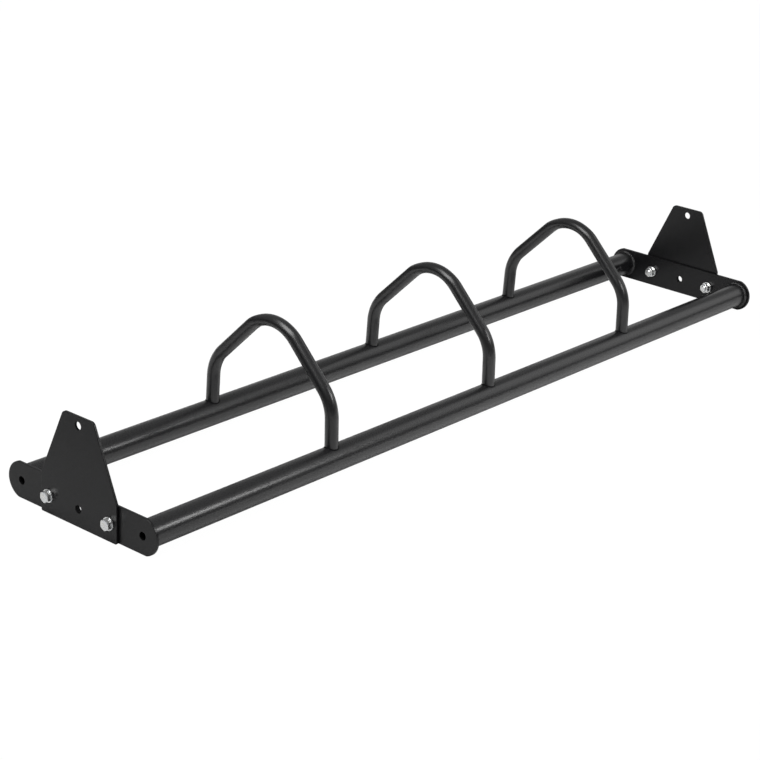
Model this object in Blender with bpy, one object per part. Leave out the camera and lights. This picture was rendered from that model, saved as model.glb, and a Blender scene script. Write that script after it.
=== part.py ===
# Bumper plate rack that bolts between the uprights of a power rig.
# Two round rails lie side by side, and the plates stand across them between three bent
# dividers. A flat end plate is welded over the rail ends, and a tapered rig bracket is
# bolted outside each end plate.
# Metres, +Z up. X runs along the rails, the front rail is at -Y, and the floor is Z = 0.

import math

import bmesh
import bpy
from mathutils import Matrix, Vector

# Frame
CLEAR_LENGTH = 1.800
RAIL_SPACING = 0.300
RAIL_DIAMETER = 0.050
RAIL_WALL = 0.003

# Dividers, each one tube bent three times, with its feet on the rail axes
DIVIDER_NAMES = ("left_divider", "middle_divider", "right_divider")
DIVIDER_DIAMETER = 0.025
DIVIDER_WALL = 0.002
DIVIDER_BEND_RADIUS = 0.078
SHOULDER_RISE = 0.1065
LEG_LEAN = math.radians(2.0)
SIDE_SLOPE = math.radians(45.0)

# End plates: a margin round each rail, and a round lobe that swells past the flat edges
END_PLATE_MARGIN = 0.0085
END_PLATE_THICKNESS = 0.005
END_PLATE_LIFT = 0.001
LOBE_SWELL = 0.001
VENT_HOLE = 0.015

# Rig brackets, straight sided until just above the end plate and tapered from there
BRACKET_WIDTH = 0.187
BRACKET_SHOULDER_CLEARANCE = 0.003
BRACKET_TOP_WIDTH = 0.074
BRACKET_HEIGHT = 0.200
BRACKET_THICKNESS = 0.005
BRACKET_TOP_CORNER = 0.010
BRACKET_FOOT_CORNER = 0.003

# Holes: a row just under the rail axes through plate and bracket, and the upper rig hole
HOLE_LINE_DROP = 0.0015
RIG_HOLE = 0.015
UPPER_HOLE_MARGIN = 0.017
BOLT_MARGIN = 0.0185
BOLT_HOLE_CLEARANCE = 0.001

# M12 fasteners, with bolts that stand out of their nuts
BOLT_DIAMETER = 0.012
BOLT_STANDOUT = 0.0035
BOLT_END_CHAMFER = 0.0012
ACROSS_FLATS = 0.019
HEAD_HEIGHT = 0.0075
NUT_HEIGHT = 0.010
NUT_BORE_CLEARANCE = 0.0006
HEX_CHAMFER = math.radians(30.0)
HEX_FACE_SHARE = 0.95
WASHER_DIAMETER = 0.024
WASHER_THICKNESS = 0.0025
WASHER_BORE_CLEARANCE = 0.001

# Fillet welds, measured along the metal on each side
RAIL_WELD_LEG = 0.0045
DIVIDER_WELD_LEG = 0.003
WELD_CROWN = 0.64

# Gap between pieces that touch, and the rounding of cut edges
SEAT_GAP = 0.0003
PLATE_EDGE = 0.0004

# Facets
RAIL_SIDES = 36
DIVIDER_SIDES = 20
HOLE_SIDES = 20
WASHER_SIDES = 20
FLAT_STEPS = 3
DIVIDER_WELD_STEPS = 20
LOBE_STEPS = 12
CORNER_STEPS = 4
BEND_STEP = math.radians(10.0)
SHARP_ANGLE = math.radians(35.0)

# Worked out from the sizes above
RAIL_RADIUS = RAIL_DIAMETER / 2
DIVIDER_RADIUS = DIVIDER_DIAMETER / 2
END_PLATE_HEIGHT = RAIL_DIAMETER + 2 * END_PLATE_MARGIN
LOBE_RADIUS = END_PLATE_HEIGHT / 2 + LOBE_SWELL
RAIL_AXIS_HEIGHT = END_PLATE_LIFT + END_PLATE_HEIGHT / 2
BRACKET_SHOULDER_HEIGHT = END_PLATE_LIFT + END_PLATE_HEIGHT + BRACKET_SHOULDER_CLEARANCE
BOLT_SPACING = BRACKET_WIDTH - 2 * BOLT_MARGIN
BOLT_HOLE = BOLT_DIAMETER + BOLT_HOLE_CLEARANCE

# Distances outward from the inner face of an end plate
END_PLATE_OUTER = END_PLATE_THICKNESS
BRACKET_INNER = END_PLATE_OUTER + SEAT_GAP
BRACKET_OUTER = BRACKET_INNER + BRACKET_THICKNESS
HEAD_WASHER_SEAT = BRACKET_OUTER + SEAT_GAP
HEAD_SEAT = HEAD_WASHER_SEAT + WASHER_THICKNESS + SEAT_GAP
NUT_WASHER_SEAT = -SEAT_GAP - WASHER_THICKNESS
NUT_SEAT = NUT_WASHER_SEAT - SEAT_GAP - NUT_HEIGHT
BOLT_LENGTH = HEAD_SEAT - NUT_SEAT + BOLT_STANDOUT

# Colour, roughness and metallic value of each kind of sub-part
FINISHES = {
    "rail_coat": ((0.024, 0.024, 0.026), 0.42, 0.0),
    "divider_coat": ((0.024, 0.024, 0.026), 0.40, 0.0),
    "plate_coat": ((0.030, 0.030, 0.031), 0.50, 0.0),
    "bracket_coat": ((0.031, 0.031, 0.032), 0.50, 0.0),
    "weld_coat": ((0.022, 0.022, 0.024), 0.38, 0.0),
    "bolt_zinc": ((0.62, 0.63, 0.65), 0.30, 1.0),
    "nut_zinc": ((0.60, 0.61, 0.63), 0.34, 1.0),
    "washer_zinc": ((0.66, 0.67, 0.69), 0.28, 1.0),
}


def clear_scene():
    for leftover in list(bpy.data.objects):
        bpy.data.objects.remove(leftover)


def finish_material(finish):
    """The material of one kind of sub-part, made when it is first asked for."""
    if finish in bpy.data.materials:
        return bpy.data.materials[finish]
    colour, roughness, metallic = FINISHES[finish]
    material = bpy.data.materials.new(finish)
    material.use_nodes = True
    shader = material.node_tree.nodes["Principled BSDF"]
    shader.inputs["Base Color"].default_value = (*colour, 1.0)
    shader.inputs["Roughness"].default_value = roughness
    shader.inputs["Metallic"].default_value = metallic
    return material


def add_object(name, mesh, finish, parent=None, location=(0.0, 0.0, 0.0), turn=(0.0, 0.0, 0.0)):
    """Put a mesh in the scene as a named sub-part."""
    if not mesh.materials:
        mesh.materials.append(finish_material(finish))
    piece = bpy.data.objects.new(name, mesh)
    piece.parent = parent
    piece.location = location
    piece.rotation_euler = turn
    bpy.context.collection.objects.link(piece)
    return piece


def mesh_from(shape, name):
    """Turn a finished bmesh into a smooth shaded mesh with its faces pointing out."""
    bmesh.ops.recalc_face_normals(shape, faces=shape.faces)
    mesh = bpy.data.meshes.new(name)
    shape.to_mesh(mesh)
    shape.free()
    mesh.shade_smooth()
    mesh.set_sharp_from_angle(angle=SHARP_ANGLE)
    return mesh


def circle(radius, sides, height=0.0, centre=(0.0, 0.0)):
    """Points of a circle about Z."""
    points = []
    for step in range(sides):
        angle = 2 * math.pi * step / sides
        across = centre[0] + radius * math.cos(angle)
        along = centre[1] + radius * math.sin(angle)
        points.append(Vector((across, along, height)))
    return points


def lofted(name, loops, closed):
    """Join loops of equal length into a skin. A closed loft runs back to its first loop."""
    shape = bmesh.new()
    rings = [[shape.verts.new(point) for point in loop] for loop in loops]
    pairs = list(zip(rings, rings[1:]))
    if closed:
        pairs.append((rings[-1], rings[0]))
    for lower, upper in pairs:
        for step in range(len(lower)):
            after = (step + 1) % len(lower)
            shape.faces.new((lower[step], lower[after], upper[after], upper[step]))
    if not closed:
        shape.faces.new(rings[0])
        shape.faces.new(rings[-1])
    return mesh_from(shape, name)


def turned(name, profile, sides):
    """Turn a closed profile of (radius, height) points about Z."""
    return lofted(name, [circle(radius, sides, height) for radius, height in profile], closed=True)


# Rails: plain round tube, square cut and open at both ends behind the end plates

def rail_mesh():
    half = CLEAR_LENGTH / 2 - SEAT_GAP
    bore = RAIL_RADIUS - RAIL_WALL
    profile = [(RAIL_RADIUS, -half), (RAIL_RADIUS, half), (bore, half), (bore, -half)]
    return turned("rail", profile, RAIL_SIDES)


def add_rails():
    mesh = rail_mesh()
    along_x = (0.0, math.pi / 2, 0.0)
    for name, side in (("front_rail", -1), ("back_rail", 1)):
        place = (0.0, side * RAIL_SPACING / 2, RAIL_AXIS_HEIGHT)
        add_object(name, mesh, "rail_coat", location=place, turn=along_x)


# Dividers: a tube wall is pushed and bent as in a tube bender, then coped to the rails

class TubeBender:
    """A tube drawn in the YZ plane, from straight lengths and bends to the back."""

    def __init__(self, start, lean):
        self.shape = bmesh.new()
        self.place = Vector(start)
        self.angle = math.pi / 2 - lean
        bmesh.ops.create_circle(self.shape, segments=DIVIDER_SIDES, radius=DIVIDER_RADIUS)
        bore = DIVIDER_RADIUS - DIVIDER_WALL
        bmesh.ops.create_circle(self.shape, segments=DIVIDER_SIDES, radius=bore)
        wall = bmesh.ops.bridge_loops(self.shape, edges=self.shape.edges[:])
        self.section = wall["faces"]
        self.has_start = False
        tilt = Matrix.Rotation(self.angle - math.pi / 2, 4, "X")
        bmesh.ops.transform(self.shape, matrix=tilt, verts=self.shape.verts)
        bmesh.ops.translate(self.shape, vec=self.place, verts=self.shape.verts)

    def heading(self):
        return Vector((0.0, math.cos(self.angle), math.sin(self.angle)))

    def move_section(self, grown):
        """Take the newest section, and open the wall where the last one lies inside it."""
        if self.has_start:
            bmesh.ops.delete(self.shape, geom=self.section, context="FACES")
        self.has_start = True
        self.section = [item for item in grown if isinstance(item, bmesh.types.BMFace)]

    def push(self, length):
        step = self.heading() * length
        grown = bmesh.ops.extrude_face_region(self.shape, geom=self.section)["geom"]
        corners = [item for item in grown if isinstance(item, bmesh.types.BMVert)]
        bmesh.ops.translate(self.shape, vec=step, verts=corners)
        self.move_section(grown)
        self.place += step

    def bend(self, turn):
        to_centre = Vector((0.0, math.sin(self.angle), -math.cos(self.angle)))
        centre = self.place + to_centre * DIVIDER_BEND_RADIUS
        swept = bmesh.ops.spin(
            self.shape,
            geom=self.section,
            cent=centre,
            axis=(-1.0, 0.0, 0.0),
            angle=turn,
            steps=max(2, round(turn / BEND_STEP)),
        )
        self.move_section(swept["geom_last"])
        self.place = centre + Matrix.Rotation(-turn, 3, "X") @ (self.place - centre)
        self.angle -= turn


def divider_mesh():
    """The bent tube, its feet still running down to the rail axes."""
    shoulder_reach = RAIL_SPACING / 2 - SHOULDER_RISE * math.tan(LEG_LEAN)
    shoulder_turn = math.pi / 2 - LEG_LEAN - SIDE_SLOPE
    apex_turn = 2 * SIDE_SLOPE
    shoulder_setback = DIVIDER_BEND_RADIUS * math.tan(shoulder_turn / 2)
    apex_setback = DIVIDER_BEND_RADIUS * math.tan(apex_turn / 2)
    leg = SHOULDER_RISE / math.cos(LEG_LEAN) - shoulder_setback
    side = shoulder_reach / math.cos(SIDE_SLOPE) - shoulder_setback - apex_setback

    bender = TubeBender(start=(0.0, -RAIL_SPACING / 2, 0.0), lean=LEG_LEAN)
    bender.push(leg)
    bender.bend(shoulder_turn)
    bender.push(side)
    bender.bend(apex_turn)
    bender.push(side)
    bender.bend(shoulder_turn)
    bender.push(leg)
    return mesh_from(bender.shape, "divider")


def coping_tool():
    """Both rails, grown by the seat gap, to cut the saddles in the divider feet."""
    shape = bmesh.new()
    reach = DIVIDER_DIAMETER * 2
    for side in (-1, 1):
        lay = Matrix.Rotation(math.pi / 2, 4, "Y")
        place = Matrix.Translation((0.0, side * RAIL_SPACING / 2, 0.0))
        bmesh.ops.create_cone(
            shape,
            cap_ends=True,
            segments=RAIL_SIDES,
            radius1=RAIL_RADIUS + SEAT_GAP,
            radius2=RAIL_RADIUS + SEAT_GAP,
            depth=reach,
            matrix=place @ lay,
        )
    return mesh_from(shape, "coping_tool")


def saddle_rise(reach, angle):
    """How far up a leg, from the rail's axis, a line beside the leg's axis meets the rail.

    The line runs along the leg at a distance reach, at an angle about the leg's axis that
    is 0 along the rail. The leg's axis crosses the rail's, so its lean plays no part.
    """
    across = reach * math.sin(angle)
    seat = RAIL_RADIUS + SEAT_GAP
    return math.sqrt(seat ** 2 - across ** 2)


def divider_weld_mesh():
    """A fillet weld round a leg's foot. Each section is square to the saddle, toe to toe."""
    sections = []
    inner = DIVIDER_RADIUS + SEAT_GAP
    outer = inner + DIVIDER_WELD_LEG
    crown = inner + DIVIDER_WELD_LEG * WELD_CROWN
    for step in range(DIVIDER_WELD_STEPS):
        angle = 2 * math.pi * step / DIVIDER_WELD_STEPS
        outward = Vector((math.cos(angle), math.sin(angle), 0.0))
        root = outward * inner + Vector((0.0, 0.0, saddle_rise(inner, angle)))
        rail_toe = outward * outer + Vector((0.0, 0.0, saddle_rise(outer, angle)))
        crown_rise = saddle_rise(crown, angle) + DIVIDER_WELD_LEG * WELD_CROWN
        middle = outward * crown + Vector((0.0, 0.0, crown_rise))
        leg_toe = root + Vector((0.0, 0.0, DIVIDER_WELD_LEG))
        sections.append([root, rail_toe, middle, leg_toe])
    return lofted("divider_weld", sections, closed=True)


def add_dividers():
    mesh = divider_mesh()
    weld_mesh = divider_weld_mesh()
    bay = CLEAR_LENGTH / (len(DIVIDER_NAMES) + 1)
    tool_mesh = coping_tool()
    for place, name in enumerate(DIVIDER_NAMES, start=1):
        stand = bpy.data.objects.new(name + "_stand", None)
        stand.location = (place * bay - CLEAR_LENGTH / 2, 0.0, RAIL_AXIS_HEIGHT)
        bpy.context.collection.objects.link(stand)
        divider = add_object(name, mesh, "divider_coat", parent=stand)
        tool = add_object(name + "_coping_tool", tool_mesh, "divider_coat", parent=stand)
        tool.hide_render = True
        tool.display_type = "WIRE"
        cope = divider.modifiers.new("cope", "BOOLEAN")
        cope.object = tool
        for end, side in (("front", -1), ("back", 1)):
            add_object(
                f"{name}_{end}_weld",
                weld_mesh,
                "weld_coat",
                parent=stand,
                location=(0.0, side * RAIL_SPACING / 2, 0.0),
                turn=(-LEG_LEAN, 0.0, 0.0 if side < 0 else math.pi),
            )


# Flat plates: an outline and its holes are filled, pushed out and broken at the edges

def rounded(corners, radii):
    """Outline through corners given anticlockwise, each rounded by an arc of its radius."""
    outline = []
    for index, corner in enumerate(corners):
        corner = Vector(corner)
        back = (Vector(corners[index - 1]) - corner).normalized()
        ahead = (Vector(corners[(index + 1) % len(corners)]) - corner).normalized()
        half_angle = back.angle(ahead) / 2
        radius = radii[index]
        centre = corner + (back + ahead).normalized() * (radius / math.sin(half_angle))
        first = corner + back * (radius / math.tan(half_angle)) - centre
        turn = math.pi - 2 * half_angle
        for step in range(CORNER_STEPS + 1):
            spun = Matrix.Rotation(turn * step / CORNER_STEPS, 2) @ first
            outline.append(centre + spun)
    return outline


def end_plate_outline():
    """A flat bar whose ends are round about the rail axes."""
    half_height = END_PLATE_HEIGHT / 2
    half_sweep = math.asin(half_height / LOBE_RADIUS)
    outline = []
    for side in (1, -1):
        for step in range(LOBE_STEPS + 1):
            angle = half_sweep * (2 * step / LOBE_STEPS - 1)
            across = RAIL_SPACING / 2 + LOBE_RADIUS * math.cos(angle)
            outline.append(Vector((side * across, side * LOBE_RADIUS * math.sin(angle))))
    return outline


def bracket_outline():
    """Square at the foot, where it laps the end plate, and tapered to the upper rig hole."""
    foot = BRACKET_WIDTH / 2
    top = BRACKET_TOP_WIDTH / 2
    low = -RAIL_AXIS_HEIGHT
    shoulder = low + BRACKET_SHOULDER_HEIGHT
    high = low + BRACKET_HEIGHT
    corners = [(-foot, low), (foot, low), (foot, shoulder), (top, high), (-top, high), (-foot, shoulder)]
    foot_round = BRACKET_FOOT_CORNER
    top_round = BRACKET_TOP_CORNER
    return rounded(corners, [foot_round, foot_round, foot_round, top_round, top_round, foot_round])


def plate_mesh(name, outline, holes, thickness):
    """A plate in the YZ plane, from X = 0 outward, with round holes of (diameter, y, z)."""
    shape = bmesh.new()
    loops = [[(0.0, point[0], point[1]) for point in outline]]
    for diameter, across, height in holes:
        hole = circle(diameter / 2, HOLE_SIDES, centre=(across, height))
        loops.append([(0.0, point.x, point.y) for point in hole])
    edges = []
    for loop in loops:
        corners = [shape.verts.new(point) for point in loop]
        for first, second in zip(corners, corners[1:] + corners[:1]):
            edges.append(shape.edges.new((first, second)))
    bmesh.ops.triangle_fill(shape, use_beauty=True, edges=edges, normal=(-1.0, 0.0, 0.0))
    grown = bmesh.ops.extrude_face_region(shape, geom=shape.faces[:])["geom"]
    far_side = [item for item in grown if isinstance(item, bmesh.types.BMVert)]
    bmesh.ops.translate(shape, vec=(thickness, 0.0, 0.0), verts=far_side)
    return mesh_from(shape, name)


def break_edges(piece):
    """Take the sharp corner off every cut edge."""
    bevel = piece.modifiers.new("broken edges", "BEVEL")
    bevel.width = PLATE_EDGE
    bevel.segments = 1
    bevel.limit_method = "ANGLE"
    bevel.angle_limit = math.radians(60.0)


def end_plate_mesh():
    holes = [(RIG_HOLE, 0.0, -HOLE_LINE_DROP)]
    for side in (-1, 1):
        holes.append((BOLT_HOLE, side * BOLT_SPACING / 2, -HOLE_LINE_DROP))
        holes.append((VENT_HOLE, side * RAIL_SPACING / 2, 0.0))
    return plate_mesh("end_plate", end_plate_outline(), holes, END_PLATE_THICKNESS)


def bracket_mesh():
    upper_hole = BRACKET_HEIGHT - UPPER_HOLE_MARGIN - RAIL_AXIS_HEIGHT
    holes = [(RIG_HOLE, 0.0, -HOLE_LINE_DROP), (RIG_HOLE, 0.0, upper_hole)]
    for side in (-1, 1):
        holes.append((BOLT_HOLE, side * BOLT_SPACING / 2, -HOLE_LINE_DROP))
    return plate_mesh("rig_bracket", bracket_outline(), holes, BRACKET_THICKNESS)


# Fasteners: modelled about Z, with the head or the outer side up

def hex_loop(height, cut_from=None):
    """Points round a hexagon. With cut_from, the corners drop away as a turned chamfer."""
    points = []
    steps = 6 * FLAT_STEPS
    face_radius = HEX_FACE_SHARE * ACROSS_FLATS / 2
    for step in range(steps):
        off_flat = (step % FLAT_STEPS) / FLAT_STEPS * math.pi / 3 - math.pi / 6
        radius = ACROSS_FLATS / 2 / math.cos(off_flat)
        angle = 2 * math.pi * step / steps
        drop = (radius - face_radius) * math.tan(HEX_CHAMFER)
        rise = height if cut_from is None else height + cut_from * drop
        points.append(Vector((radius * math.cos(angle), radius * math.sin(angle), rise)))
    return points


def bolt_mesh():
    """Hex head above the seat at Z = 0 and shank below it."""
    sides = 6 * FLAT_STEPS
    shank = BOLT_DIAMETER / 2
    loops = [
        circle(shank - BOLT_END_CHAMFER, sides, -BOLT_LENGTH),
        circle(shank, sides, -BOLT_LENGTH + BOLT_END_CHAMFER),
        circle(shank, sides, 0.0),
        hex_loop(0.0),
        hex_loop(HEAD_HEIGHT, cut_from=-1),
        circle(HEX_FACE_SHARE * ACROSS_FLATS / 2, sides, HEAD_HEIGHT),
    ]
    return lofted("hex_bolt", loops, closed=False)


def nut_mesh():
    """Hex nut from Z = 0 up, chamfered on both faces."""
    sides = 6 * FLAT_STEPS
    bore = (BOLT_DIAMETER + NUT_BORE_CLEARANCE) / 2
    face = HEX_FACE_SHARE * ACROSS_FLATS / 2
    loops = [
        circle(bore, sides, 0.0),
        circle(face, sides, 0.0),
        hex_loop(0.0, cut_from=1),
        hex_loop(NUT_HEIGHT, cut_from=-1),
        circle(face, sides, NUT_HEIGHT),
        circle(bore, sides, NUT_HEIGHT),
    ]
    return lofted("hex_nut", loops, closed=True)


def washer_mesh():
    """Flat washer from Z = 0 up."""
    bore = (BOLT_DIAMETER + WASHER_BORE_CLEARANCE) / 2
    rim = WASHER_DIAMETER / 2
    profile = [(rim, 0.0), (rim, WASHER_THICKNESS), (bore, WASHER_THICKNESS), (bore, 0.0)]
    return turned("flat_washer", profile, WASHER_SIDES)


def rail_weld_mesh():
    """Fillet weld in the corner between a rail and its end plate, from Z = 0 up the rail."""
    root = RAIL_RADIUS + SEAT_GAP
    leg = RAIL_WELD_LEG
    crown = leg * WELD_CROWN
    profile = [(root, 0.0), (root + leg, 0.0), (root + crown, crown), (root, leg)]
    return turned("rail_weld", profile, RAIL_SIDES)


# Ends: each is laid out outward from the inner face of its end plate

def add_end(side, direction, meshes):
    """One end of the rack, about an empty whose X points outward."""
    end = bpy.data.objects.new(side + "_end", None)
    end.location = (direction * CLEAR_LENGTH / 2, 0.0, RAIL_AXIS_HEIGHT)
    end.rotation_euler = (0.0, 0.0, 0.0 if direction > 0 else math.pi)
    bpy.context.collection.objects.link(end)

    plate = add_object(side + "_end_plate", meshes["end_plate"], "plate_coat", parent=end)
    break_edges(plate)
    bracket = add_object(
        side + "_rig_bracket",
        meshes["rig_bracket"],
        "bracket_coat",
        parent=end,
        location=(BRACKET_INNER, 0.0, 0.0),
    )
    break_edges(bracket)

    outward = (0.0, math.pi / 2, 0.0)
    inward = (0.0, -math.pi / 2, 0.0)
    for row, row_direction in (("front", -1), ("back", 1)):
        across = row_direction * direction
        stack = f"{side}_{row}"
        bolt_y = across * BOLT_SPACING / 2
        fasteners = (
            ("bolt", "hex_bolt", "bolt_zinc", HEAD_SEAT, outward),
            ("head_washer", "flat_washer", "washer_zinc", HEAD_WASHER_SEAT, outward),
            ("nut_washer", "flat_washer", "washer_zinc", -SEAT_GAP, inward),
            ("nut", "hex_nut", "nut_zinc", NUT_SEAT, outward),
        )
        for label, mesh, finish, seat, turn in fasteners:
            place = (seat, bolt_y, -HOLE_LINE_DROP)
            add_object(f"{stack}_{label}", meshes[mesh], finish, end, place, turn)
        weld_place = (-SEAT_GAP, across * RAIL_SPACING / 2, 0.0)
        add_object(f"{stack}_rail_weld", meshes["rail_weld"], "weld_coat", end, weld_place, inward)


def add_ends():
    meshes = {
        "end_plate": end_plate_mesh(),
        "rig_bracket": bracket_mesh(),
        "hex_bolt": bolt_mesh(),
        "hex_nut": nut_mesh(),
        "flat_washer": washer_mesh(),
        "rail_weld": rail_weld_mesh(),
    }
    add_end("left", -1, meshes)
    add_end("right", 1, meshes)


clear_scene()
add_rails()
add_dividers()
add_ends()
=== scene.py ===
# %% [markdown]
# # A bumper plate rack in black powder coat
#
# The rack is a welded steel frame. Two round rails carry the plates, three bent tubes part
# them, and a flat plate at each end ties the rails together. A tapered bracket is bolted
# outside each end plate, to hang the rack between the uprights of a power rig.
#
# The imported model already has every piece at its real size, but with few faces. This
# lesson dresses it: each piece is made again with a smooth skin, rounded edges, rippled
# weld beads and threads, in the place that the imported piece holds. First the imported model
# is loaded.

# %% Load the imported rack
import math
from functools import partial

import bmesh
import bpy
from mathutils import Matrix, Vector, noise


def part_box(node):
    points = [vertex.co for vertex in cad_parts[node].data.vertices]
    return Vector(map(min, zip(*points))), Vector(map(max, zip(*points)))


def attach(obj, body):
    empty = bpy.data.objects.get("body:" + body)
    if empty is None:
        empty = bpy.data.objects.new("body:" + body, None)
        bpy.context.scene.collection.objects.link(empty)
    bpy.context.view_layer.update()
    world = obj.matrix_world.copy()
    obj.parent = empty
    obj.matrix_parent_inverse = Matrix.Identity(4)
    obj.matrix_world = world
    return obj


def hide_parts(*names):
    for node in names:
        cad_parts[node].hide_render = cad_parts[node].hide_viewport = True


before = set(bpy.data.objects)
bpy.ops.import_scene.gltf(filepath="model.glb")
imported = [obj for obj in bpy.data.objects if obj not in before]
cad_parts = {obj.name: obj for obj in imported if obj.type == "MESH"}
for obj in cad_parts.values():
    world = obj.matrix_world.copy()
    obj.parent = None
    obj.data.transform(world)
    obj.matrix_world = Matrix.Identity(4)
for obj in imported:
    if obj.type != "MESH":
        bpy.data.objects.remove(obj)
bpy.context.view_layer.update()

print("packed nodes:", len(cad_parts))

# %% [markdown]
# ## Sizes
#
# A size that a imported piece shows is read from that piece, so the two can't drift apart.
# Both rails are the same tube, so the front one gives the radius, the height of the axis
# and the row that it stands in.

# %% Rails and end plates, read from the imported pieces
MM = 0.001

rail_low, rail_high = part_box("front_rail")
RAIL_RADIUS = (rail_high.z - rail_low.z) / 2
RAIL_HEIGHT = (rail_high.z + rail_low.z) / 2
RAIL_ROW = -(rail_high.y + rail_low.y) / 2
RAIL_END = rail_high.x

plate_low, plate_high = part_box("right_end_plate")
PLATE_INNER = plate_low.x
PLATE_THICKNESS = plate_high.x - plate_low.x
PLATE_HEIGHT = plate_high.z - plate_low.z
LOBE_RADIUS = plate_high.y - RAIL_ROW

print(f"rails: {2000 * RAIL_RADIUS:.1f} mm tube, {2000 * RAIL_ROW:.0f} mm apart")
print(f"end plates: {1000 * PLATE_THICKNESS:.1f} mm thick, lobes of {1000 * LOBE_RADIUS:.1f} mm")

# %% [markdown]
# ## Colour
#
# Colours are written as sRGB hex values, the way a colour picker shows them. Blender's
# shaders work in linear light, so one function turns the one into the other.

# %% From hex to linear colour
def colour(code):
    """The linear colour, with alpha, of a hex value such as #2b2b2d."""
    linear = []
    for place in (1, 3, 5):
        share = int(code[place:place + 2], 16) / 255
        linear.append(share / 12.92 if share <= 0.04045 else ((share + 0.055) / 1.055) ** 2.4)
    return (*linear, 1.0)


print("a mid grey in linear light:", [round(part, 3) for part in colour("#808080")])

# %% [markdown]
# ## One helper for shader nodes
#
# Every material here is a small graph of nodes. Written out in full, a node takes a line
# for each setting and each link, so one function adds a node with both. A setting is either
# a value for one of its inputs or an attribute such as its operation.

# %% Add a node with its settings and links
def add_node(tree, kind, settings=None, links=None):
    """Add a node. Settings fill its inputs or attributes, links join outputs to its inputs."""
    node = tree.nodes.new(kind)
    for name, value in (settings or {}).items():
        if isinstance(name, int) or name in node.inputs:
            node.inputs[name].default_value = value
        else:
            setattr(node, name, value)
    for name, source in (links or {}).items():
        tree.links.new(source, node.inputs[name])
    return node


# %% [markdown]
# ## Powder coat
#
# All the steel is powder coated: dry polyester powder is sprayed on with a static charge
# and melted in an oven at about 200 degrees. It flows into a thick, even film that rounds
# every edge. Two things give it away to the eye. The film dries with a faint orange peel, a
# few millimetres from crest to crest, and a satin black powder has a fine grain that breaks
# up the highlights. Where the grain stands proud it is also a little duller, so the
# roughness follows the same noise.
#
# Both could be modelled, but they are far thinner than a hair, so they are bump in the
# material. The grain of the real powder is about 0.3 mm, too fine to show at this distance,
# so it is drawn at 1.2 mm. Polyester has the usual refractive index of plastics, 1.5.
#
# The gloss value scales what the film mirrors, and 0.5 is all that the index gives. Satin
# powder holds a matting wax that takes some of it away. The smooth drawn tubes lose a
# little, and the flat steel, which is rougher under the film, loses half. The rails have
# the deepest peel and grain. On the dividers and the plates the film flowed out smoother.
#
# The charge keeps the powder out of tight corners. On the walls of the holes, and in the groove
# round a divider's foot, the film is thin and dry, with hardly any shine. Its colour there is
# also darker: painted shade, for the shade that falls into these recesses.

# %% A satin black powder coat
PEEL_WAVE = 4.0 * MM
GRAIN_WAVE = 1.2 * MM
FILM_CLOUD = 90.0 * MM
POLYESTER_IOR = 1.5
SHEEN_SPREAD = 0.05
NOISE_LOW = 0.3
NOISE_HIGH = 0.7


def powder_coat(name, dark, light, roughness, gloss=0.5, peel=0.05 * MM, grain=0.06 * MM):
    """Satin polyester powder coat, between two shades, with orange peel and grain."""
    material = bpy.data.materials.new(name)
    material.use_nodes = True
    tree = material.node_tree
    shader = tree.nodes["Principled BSDF"]
    shader.inputs["IOR"].default_value = POLYESTER_IOR
    shader.inputs["Specular IOR Level"].default_value = gloss
    where = add_node(tree, "ShaderNodeTexCoord").outputs["Object"]
    cloud = add_node(tree, "ShaderNodeTexNoise", {"Scale": 1 / FILM_CLOUD, "Detail": 3.0}, {"Vector": where})
    waves = add_node(tree, "ShaderNodeTexNoise", {"Scale": 1 / PEEL_WAVE, "Detail": 1.0}, {"Vector": where})
    specks = add_node(tree, "ShaderNodeTexNoise", {"Scale": 1 / GRAIN_WAVE, "Detail": 2.0}, {"Vector": where})

    tint = add_node(
        tree,
        "ShaderNodeMix",
        {"data_type": "RGBA", 6: colour(dark), 7: colour(light)},
        {0: cloud.outputs["Fac"]},
    )
    sheen = add_node(
        tree,
        "ShaderNodeMapRange",
        {
            "From Min": NOISE_LOW,
            "From Max": NOISE_HIGH,
            "To Min": roughness - SHEEN_SPREAD,
            "To Max": roughness + SHEEN_SPREAD,
        },
        {"Value": specks.outputs["Fac"]},
    )
    peel_bump = add_node(tree, "ShaderNodeBump", {"Distance": peel}, {"Height": waves.outputs["Fac"]})
    grain_bump = add_node(
        tree,
        "ShaderNodeBump",
        {"Distance": grain},
        {"Height": specks.outputs["Fac"], "Normal": peel_bump.outputs["Normal"]},
    )
    tree.links.new(tint.outputs[2], shader.inputs["Base Color"])
    tree.links.new(sheen.outputs["Result"], shader.inputs["Roughness"])
    tree.links.new(grain_bump.outputs["Normal"], shader.inputs["Normal"])
    return material


rail_coat = powder_coat("rail_powder_coat", "#0d0d0e", "#111112", roughness=0.29, gloss=0.45)
divider_coat = powder_coat(
    "divider_powder_coat",
    "#0d0d0e",
    "#111112",
    roughness=0.31,
    gloss=0.45,
    peel=0.02 * MM,
    grain=0.02 * MM,
)
plate_coat = powder_coat(
    "plate_powder_coat",
    "#0c0c0d",
    "#0f0f10",
    roughness=0.3,
    gloss=0.25,
    peel=0.03 * MM,
    grain=0.03 * MM,
)
bracket_coat = plate_coat.copy()
bracket_coat.name = "bracket_powder_coat"
weld_coat = powder_coat("weld_powder_coat", "#0e0e0f", "#121213", roughness=0.28)
# The thin film coat is darker in colour, as painted shade for the holes and the grooves.
thin_film_and_shade_coat = powder_coat("thin_film_and_shade_powder_coat", "#060607", "#09090a", roughness=0.6, gloss=0.08)
print("coats made:", [material.name for material in bpy.data.materials if "coat" in material.name])

# %% [markdown]
# ## Bare steel in the bores
#
# The powder doesn't reach far into a tube. Past the vent holes the bore is hot rolled
# steel as it came from the mill: grey-brown scale, rough and patchy, with next to no shine.

# %% Mill scale
SCALE_PATCH = 8.0 * MM
SCALE_METALLIC = 0.4
SCALE_ROUGHNESS = 0.75

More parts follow.
